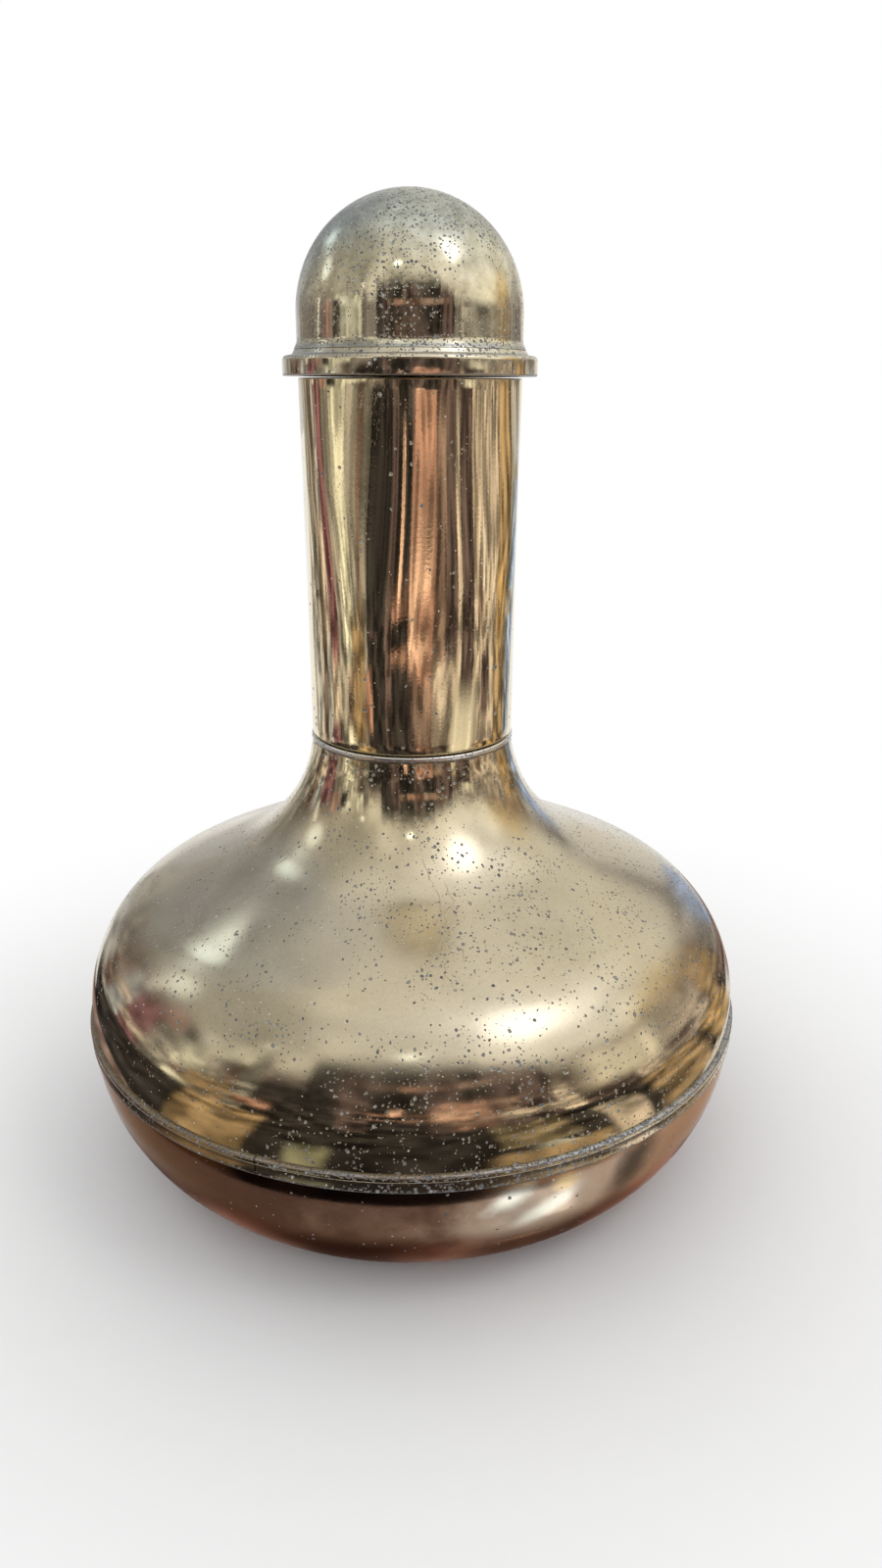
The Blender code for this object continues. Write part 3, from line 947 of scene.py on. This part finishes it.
def add_camera():
    data = bpy.data.cameras.new("photo_camera")
    data.sensor_fit = "VERTICAL"
    data.sensor_height = SENSOR
    data.lens = SENSOR * FOCAL_PIXELS / FRAME_HEIGHT
    data.clip_start = CLIP_START
    camera = bpy.data.objects.new("photo_camera", data)
    turn = Matrix.Rotation(CAMERA_YAW, 4, "Z")
    tilt = Matrix.Rotation(math.radians(90) + CAMERA_PITCH, 4, "X")
    roll = Matrix.Rotation(CAMERA_ROLL, 4, "Z")
    camera.matrix_world = Matrix.Translation(CAMERA_PLACE) @ turn @ tilt @ roll
    bpy.context.scene.collection.objects.link(camera)
    bpy.context.scene.camera = camera


def seen_rays(graph):
    """1 for camera, glossy and transmission rays, 0 for the rays that light the object."""
    path = graph.add("LightPath")
    kinds = ("Is Camera Ray", "Is Glossy Ray", "Is Transmission Ray")
    camera, glossy, transmission = [path.outputs[kind] for kind in kinds]
    return graph.maths("ADD", graph.plus(camera, glossy), transmission, clamp=True)


def add_world():
    world = bpy.data.worlds.new("studio")
    bpy.context.scene.world = world
    graph = Graph(world)
    strength = graph.maths("MAXIMUM", seen_rays(graph), WORLD_LIGHT)
    graph.feed(graph.tree.nodes["Background"], {"Color": (1, 1, 1), "Strength": strength})


def direction(azimuth, elevation):
    """Unit vector; azimuth 0 is towards the front, and it grows towards +X."""
    turn = math.radians(azimuth)
    rise = math.radians(elevation)
    return Vector(
        (math.sin(turn) * math.cos(rise), -math.cos(turn) * math.cos(rise), math.sin(rise))
    )


AIM = Vector((0, 0, 0.08))
WORLD_LIGHT = 0.85
FLOOR_REACH = 30.0
FLOOR_LEVEL = -0.00002
FLOOR_TURNS_WHITE = (0.07, 0.20)


def add_lamp(name, azimuth, elevation, distance, width, height, radiance, colour=(1, 1, 1)):
    """Soft oval lamp that faces the bottle, as bright per area as radiance says."""
    data = bpy.data.lights.new(name, "AREA")
    data.shape = "ELLIPSE"
    data.size = width
    data.size_y = height
    data.energy = radiance * math.pi * width * height * math.pi / 4
    data.color = colour
    lamp = bpy.data.objects.new(name, data)
    place = AIM + direction(azimuth, elevation) * distance
    facing = (AIM - place).to_track_quat("-Z", "Y")
    lamp.matrix_world = Matrix.Translation(place) @ facing.to_matrix().to_4x4()
    bpy.context.scene.collection.objects.link(lamp)
    return lamp


def staged(name, points, faces, material):
    made = linked_mesh(name, points, faces)
    made.data.materials.append(material)
    return made


def add_floor():
    """Pale floor that keeps the shadow near the bottle and turns white further out."""
    graph = new_material("pale_floor")
    place = graph.add("NewGeometry").outputs["Position"]
    away = graph.vector("LENGTH", place)["Value"]
    speck = graph.spread(place, 0.004, detail=3.0)
    colour = graph.blend(speck, (0.94, 0.94, 0.94), (0.97, 0.97, 0.97))
    matt = {"Base Color": colour, "Roughness": 0.9, "Specular IOR Level": 0.0}
    graph.feed(graph.shader, matt)
    glow = graph.add("Emission", {"Color": (1.0, 1.0, 1.0), "Strength": 1.0})
    far = graph.times(graph.ramp(away, *FLOOR_TURNS_WHITE), seen_rays(graph))
    graph.show(far, graph.shader, glow)
    corners = ((-1, -1), (1, -1), (1, 1), (-1, 1))
    points = [(x * FLOOR_REACH, y * FLOOR_REACH, FLOOR_LEVEL) for x, y in corners]
    staged("floor", points, [(0, 1, 2, 3)], graph.owner)


CARD_COLOURS = {
    "black": (0.045, 0.040, 0.042),
    "bark": (0.13, 0.095, 0.10),
    "brown": (0.27, 0.19, 0.17),
    "copper": (0.52, 0.30, 0.25),
    "peach": (0.95, 0.62, 0.52),
    "olive": (0.36, 0.34, 0.33),
    "cream": (0.92, 0.92, 0.84),
    "tan": (0.58, 0.50, 0.46),
    "ochre": (0.55, 0.38, 0.20),
    "plum": (0.26, 0.13, 0.16),
    "white": (1.0, 1.0, 1.0),
    "pink": (0.80, 0.50, 0.46),
    "haze": (0.50, 0.50, 0.51),
    "sage": (0.36, 0.36, 0.27),
    "sand": (0.60, 0.57, 0.53),
    "blue": (0.34, 0.45, 0.72),
    "grey": (0.46, 0.45, 0.43),
    "pale": (0.50, 0.53, 0.60),
    "gold": (0.39, 0.28, 0.175),
    "brass": (0.26, 0.21, 0.15),
}


def card_material(colour_name):
    """Panel that only reflections show, with streaks along it and edges that fade away."""
    graph = new_material("card_" + colour_name)
    place = graph.place()
    streaks = graph.spread(graph.stretched(place, (1, 1, 0.12)), 0.034, detail=1.0)
    fine = graph.spread(graph.stretched(place, (1, 1, 0.08)), 0.010, detail=2.0)
    folds = graph.spread(graph.stretched(place, (1, 1, 0.5)), 0.050, detail=2.0)
    strength = graph.times(
        graph.plus(graph.times(graph.ramp(streaks, 0.38, 0.62), 0.9), 0.45),
        graph.plus(graph.times(graph.ramp(folds, 0.30, 0.70), 0.9), 0.65),
        graph.plus(fine, 0.55),
    )
    glow = graph.add("Emission", {"Color": CARD_COLOURS[colour_name], "Strength": strength})
    fade = graph.add("Attribute", attribute_name="fade")
    edges = graph.add("SeparateColor", {"Color": fade.outputs["Color"]})
    wobble = graph.plus(graph.spread(place, 0.035, detail=3.0), -0.5)
    from_side, from_end = edges.outputs["Red"], edges.outputs["Green"]
    shares = []
    for away, soft in ((from_side, edges.outputs["Blue"]), (from_end, fade.outputs["Alpha"])):
        shares.append(graph.ramp(graph.plus(away, graph.times(wobble, soft)), 0.0, soft))
    clear = graph.add("BsdfTransparent")
    graph.show(graph.times(*shares), clear, glow)
    return graph.owner


CARDS = {name: card_material(name) for name in CARD_COLOURS}


# The photographed part of the floor: its front edge, and its sides as width and slope
VIEW_FRONT = 0.1150
VIEW_SIDE = 0.1057
VIEW_SLOPE = 0.3663
VIEW_ENDLESS = 9.0


def evenly(start, end, steps):
    return [start + (end - start) * step / steps for step in range(steps + 1)]


def frame_edge(azimuth):
    """How far from the bottle's axis the photographed part of the floor ends."""
    turn = abs(math.radians(azimuth))
    front = VIEW_FRONT / math.cos(turn) if math.cos(turn) > 0.01 else VIEW_ENDLESS
    closing = math.sin(turn) + VIEW_SLOPE * math.cos(turn)
    side = VIEW_SIDE / closing if closing > 0.05 else VIEW_ENDLESS
    return min(front, side)


def hide_from_camera(made):
    made.visible_camera = False
    made.visible_diffuse = False
    made.visible_shadow = False


def add_card(name, colour_name, start, end, profile, fades, open_end=True, nearer=1.0):
    """Panel bent round the bottle, whose sides and ends fade by the two shares in fades.

    With open_end only its far or upper end fades. No part of it comes nearer to the axis
    than nearer times the edge of the photographed floor.
    """
    steps = 2 * max(2, math.ceil(abs(end - start) / CARD_STEP))
    count = len(profile)
    softness = [max(fade, HARD_FADE) for fade in fades]
    points = []
    shares = []
    for step, azimuth in enumerate(evenly(start, end, steps)):
        edge = frame_edge(azimuth)
        from_side = 1 - abs(2 * step / steps - 1)
        for index, (radius, height) in enumerate(profile):
            place = direction(azimuth, 0) * max(radius, edge * nearer)
            points.append((place.x, place.y, height))
            part = index / (count - 1)
            from_end = 1 - part if open_end else 1 - abs(2 * part - 1)
            shares.extend((from_side, from_end, *softness))
    faces = []
    for step in range(steps):
        for index in range(count - 1):
            near = step * count + index
            faces.append((near, near + count, near + count + 1, near + 1))
    made = staged(name, points, faces, CARDS[colour_name])
    made.data.attributes.new("fade", "FLOAT_COLOR", "POINT").data.foreach_set("color", shares)
    hide_from_camera(made)


CARD_STEP = 6
HARD_FADE = 0.001
ALL_ROUND = (-150, 150)
WALL_RADIUS = 0.55
WALL_START = -18
WALL_TOP = 28
MAT_HEIGHT = 0.0008
LAYER = 0.0003

# Name, colour, azimuth from and to, radii, layers under the big mat, fades, and how near
NEAR_MATS = [
    ("near_mat", "black", -50, 38, (0.089, 0.105, 0.14), 1, (0.3, 0.0), 0.5),
    ("left_mat", "brown", -128, -32, (0.093, 0.105, 0.14), 2, (0.1, 0.0), 0.5),
    ("foot_mat", "brown", *ALL_ROUND, (0.053, 0.058, 0.063, 0.068, 0.073), 1, (0.05, 0.5), 0.0),
]

# Azimuth from and to, radius from and to, colour, and how much of its sides and end fades
FLOOR_PATCHES = [
    (-150, -104, 0.21, 0.25, "grey", 0.3, 0.1),
    (-66, -38, 0.09, 0.30, "gold", 0.2, 0.1),
    (-31, -19, 0.10, 0.14, "sage", 0.6, 0.5),
    (19, 42, 0.12, 0.24, "brass", 0.3, 0.3),
    (14, 50, 0.092, 0.115, "gold", 0.5, 0.3),
    (14, 34, 0.071, 0.092, "white", 0.5, 0.5),
    (46, 60, 0.09, 0.20, "tan", 0.4, 0.6),
    (62, 92, 0.10, 0.25, "gold", 0.5, 0.2),
    (90, 114, 0.10, 0.25, "ochre", 0.5, 0.2),
    (112, 150, 0.10, 0.25, "brown", 0.5, 0.2),
]

# Azimuth from and to, colour, and the top in degrees over the bottle's middle
COLUMNS = [
    (-150, -136, "grey", 18),
    (-137, -120, "olive", 22),
    (-122, -112, "brown", 16),
    (-113, -103, "pale", 15),
    (-104, -88, "plum", 18),
    (-89, -77, "olive", 24),
    (-78, -64, "cream", 27),
    (-65, -57, "olive", 28),
    (-58, -53, "brown", 30),
    (-54, -47, "olive", 32),
    (-48, -33, "black", 14),
    (-34, -22, "black", 40),
    (-24, -14, "bark", 43),
    (-15, 3, "black", 45),
    (2, 12, "bark", 44),
    (11, 24, "black", 42),
    (23, 34, "bark", 36),
    (33, 44, "bark", 30),
    (43, 49, "tan", 20),
    (48, 66, "bark", 15),
    (65, 79, "tan", 13),
    (78, 92, "tan", 18),
    (91, 106, "tan", 16),
    (105, 124, "gold", 16),
    (123, 143, "olive", 16),
    (132, 150, "blue", 8),
]

# Azimuth from and to, elevation from and to, and colour of soft patches before the columns
PATCHES = [
    (-142, -120, -14, -7, "haze"),
    (-118, -103, -8, 1, "tan"),
    (-106, -86, -14, -7, "tan"),
    (-78, -63, -14, -7, "brown"),
    (-71, -51, -18, -1, "gold"),
    (-52, -40, -14, -7, "copper"),
    (-16, 3, -8, -1, "copper"),
    (-9, -5, -3, 3, "peach"),
    (2, 12, -9, 2, "copper"),
    (5, 13, 0, 6, "peach"),
    (10, 25, -18, 1, "copper"),
    (23, 33, -16, 6, "brown"),
    (2, 22, -8, 0, "peach"),
    (8, 25, -14, -8, "brown"),
    (24, 46, -14, -7, "tan"),
    (50, 72, 5.5, 13, "sand"),
    (72, 80, -7, 0, "brown"),
    (79, 94, -14, -7, "bark"),
    (104, 124, -7, -1, "ochre"),
    (3, 24, -1, 5, "copper"),
    (-18, 40, 13.5, 19, "brown"),
    (-8, 12, 14.5, 18, "copper"),
    (-106, -101, 8, 20, "white"),
    (-88, -79, 7, 19, "pink"),
    (-78, -70, 8, 19, "black"),
    (-65, -52, 9, 24, "cream"),
    (-72, -66, 14, 20, "white"),
    (-55, -51, 24, 28, "white"),
    (44, 47, 12, 15, "white"),
    (80, 83, -3, 1, "white"),
]


def wall_place(elevation):
    """Radius and height of the sloping foot and upright wall, seen from the bottle's middle."""
    slope = math.tan(math.radians(elevation))
    height = AIM.z + WALL_RADIUS * slope
    foot, knee, head = (0.25, MAT_HEIGHT), (0.44, 0.045), (WALL_RADIUS, 0.12)
    if height >= head[1]:
        return WALL_RADIUS, height
    for start, end in ((foot, knee), (knee, head)):
        across, rise = end[0] - start[0], end[1] - start[1]
        part = (AIM.z + start[0] * slope - start[1]) / (rise - across * slope)
        if part <= 1:
            part = max(0.0, part)
            return start[0] + across * part, start[1] + rise * part
    return head


def wall_profile(low, high, steps, closer=1.0, lift=0.0):
    """Spots up the wall between two elevations, a little nearer to the bottle than it."""
    spots = [wall_place(elevation) for elevation in evenly(low, high, steps)]
    return [(radius * closer, height + lift) for radius, height in spots]


def add_surround():
    mat = [(radius, MAT_HEIGHT) for radius in (0, 0.2, 0.26)]
    add_card("mat", "black", *ALL_ROUND, mat, (0.0, 0.0), False)
    for name, colour_name, start, end, radii, layers, fades, nearer in NEAR_MATS:
        profile = [(radius, MAT_HEIGHT - layers * LAYER) for radius in radii]
        add_card(name, colour_name, start, end, profile, fades, nearer=nearer)
    for index, (start, end, near, far, colour_name, *fades) in enumerate(FLOOR_PATCHES):
        level = MAT_HEIGHT + LAYER * (index + 1)
        profile = [(radius, level) for radius in evenly(near, far, 4)]
        add_card(f"floor_patch_{index}", colour_name, start, end, profile, fades, nearer=0.5)
    screen = [(0.12, height) for height in evenly(0.034, 0.078, 6)]
    add_card("right_screen", "sand", 36, 74, screen, (0.5, 0.6), False, 0.5)
    add_card("wall", "bark", *ALL_ROUND, wall_profile(WALL_START, WALL_TOP, 12), (0.05, 0.5))
    for index, (start, end, colour_name, top) in enumerate(COLUMNS):
        closer = 0.975 - 0.005 * (index % 2)
        profile = wall_profile(WALL_START, top, 12, closer, LAYER / 2)
        add_card(f"column_{index}", colour_name, start, end, profile, (0.16, 0.3))
    for index, (start, end, low, high, colour_name) in enumerate(PATCHES):
        profile = wall_profile(low, high, 6, 0.960 - 0.0025 * index, LAYER)
        add_card(f"patch_{index}", colour_name, start, end, profile, (0.3, 0.5), False)


# Azimuth, elevation, inner and outer reach in degrees, colour and level of the sky's soft areas
SKY = [
    (-140, 30, 15, 48, (0.97, 1.00, 1.10), 0.40),
    (-75, 40, 8, 34, (1.00, 0.98, 0.92), 0.50),
    (-90, 15, 5, 40, (1.00, 0.96, 0.90), 0.60),
    (150, 30, 15, 50, (1.00, 0.97, 0.92), 0.85),
    (105, 34, 10, 40, (1.00, 0.98, 0.90), 1.15),
    (80, 22, 4, 17, (1.00, 0.98, 0.90), 1.65),
    (102, 12, 4, 24, (1.00, 0.80, 0.50), 1.05),
    (62, 52, 14, 42, (1.00, 1.00, 1.03), 1.25),
    (60, 54, 2, 17, (0.96, 1.00, 1.12), 3.10),
    (-127, 40, 2, 6, (0.84, 1.00, 1.10), 2.60),
    (-116, 36, 1, 5, (0.90, 1.00, 1.08), 1.50),
    (-103, 30, 2, 9, (0.92, 1.00, 1.03), 1.80),
    (-140, 10, 4, 18, (0.95, 1.00, 1.10), 0.65),
]
SKY_RADIUS = 1.6
SKY_COLUMNS = 48
SKY_ROWS = 16


def add_sky():
    """Soft dome all round and overhead that only reflections show."""
    graph = new_material("sky")
    centred = graph.vector("SUBTRACT", graph.place(), tuple(AIM))[0]
    way = graph.vector("NORMALIZE", centred)[0]
    colour = (1.0, 0.98, 0.94)
    level = 1.0
    for azimuth, elevation, inner, outer, area_colour, area_level in SKY:
        facing = graph.vector("DOT_PRODUCT", way, tuple(direction(azimuth, elevation)))["Value"]
        low, high = math.cos(math.radians(outer)), math.cos(math.radians(inner))
        share = graph.ramp(facing, low, high)
        colour = graph.blend(share, colour, area_colour)
        level = graph.between(share, level, area_level)
    clouds = graph.spread(way, 0.30, detail=3.0)
    level = graph.times(level, graph.plus(graph.times(clouds, 0.8), 0.6))
    glow = graph.add("Emission", {"Color": colour, "Strength": level})
    graph.feed(graph.output, {"Surface": glow.outputs[0]})
    points = []
    rows = []
    for row in range(SKY_ROWS):
        rows.append(range(len(points), len(points) + SKY_COLUMNS))
        for column in range(SKY_COLUMNS):
            way_out = direction(360 * column / SKY_COLUMNS, 90 * row / SKY_ROWS)
            points.append(AIM + way_out * SKY_RADIUS)
    rows.append([len(points)])
    points.append(AIM + Vector((0, 0, SKY_RADIUS)))
    faces = flipped(ring_faces(rows, SKY_COLUMNS, closed=False))
    hide_from_camera(staged("sky", points, faces, graph.owner))


add_camera()
add_world()
add_floor()
add_surround()
add_sky()
add_lamp("key", 60, 54, 1.3, 0.50, 0.40, 2.6).visible_glossy = False
add_lamp("fill", -118, 37, 0.95, 0.22, 0.14, 2.4).visible_glossy = False
add_lamp("front_spot", -4, 45, 1.2, 0.10, 0.07, 5.0, (0.90, 0.98, 1.0))

bpy.context.scene.view_settings.view_transform = "Standard"
